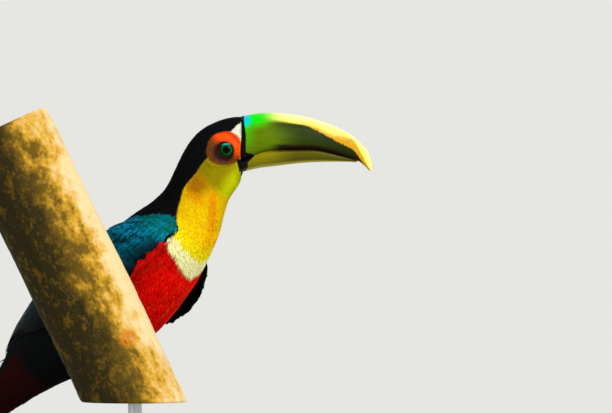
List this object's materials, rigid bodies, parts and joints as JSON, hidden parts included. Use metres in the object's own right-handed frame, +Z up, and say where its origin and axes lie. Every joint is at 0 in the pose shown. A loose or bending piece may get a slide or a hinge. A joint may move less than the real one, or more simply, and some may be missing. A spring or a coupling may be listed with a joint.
{
  "type": "red-breasted toucan, still life-size model on a perch",
  "caption": "Life-size still model of a red-breasted toucan perched behind a slanting cut limb, on a plain display stand.",
  "frame": {"origin": "centre of the underside of the stand's base, on the floor", "axes": "+Z up, +X the way the bill points, +Y towards the bird's left side"},
  "size_m": [0.361, 0.2527, 0.3152],
  "materials": {
    "plumage": "feathers: black, yellow, red and blue-black, with bare orange-red skin round the eyes",
    "eyes": "wet and clear, green iris round a black pupil",
    "horn": "smooth satin horn: the olive-green and yellow bill, and the dark claws",
    "feet": "scaly skin",
    "bark": "pale patchy bark, sawn at both ends",
    "stand_base": "dark stained wood, satin",
    "stand_rod": "brushed"
  },
  "bodies": {
    "root": {"head": "plumage", "neck": "plumage", "trunk": "plumage", "tail": "plumage", "wing_right": "plumage", "wing_left": "plumage", "thigh_right": "plumage", "thigh_left": "plumage", "eye_right": "eyes", "eye_left": "eyes", "bill_upper": "horn", "bill_lower": "horn", "foot_right": "feet", "foot_left": "feet", "perch_limb": "bark", "perch_branch": "bark", "stand_base": "stand_base", "stand_rod_limb": "stand_rod", "stand_rod_branch": "stand_rod"}
  },
  "joints": []
}
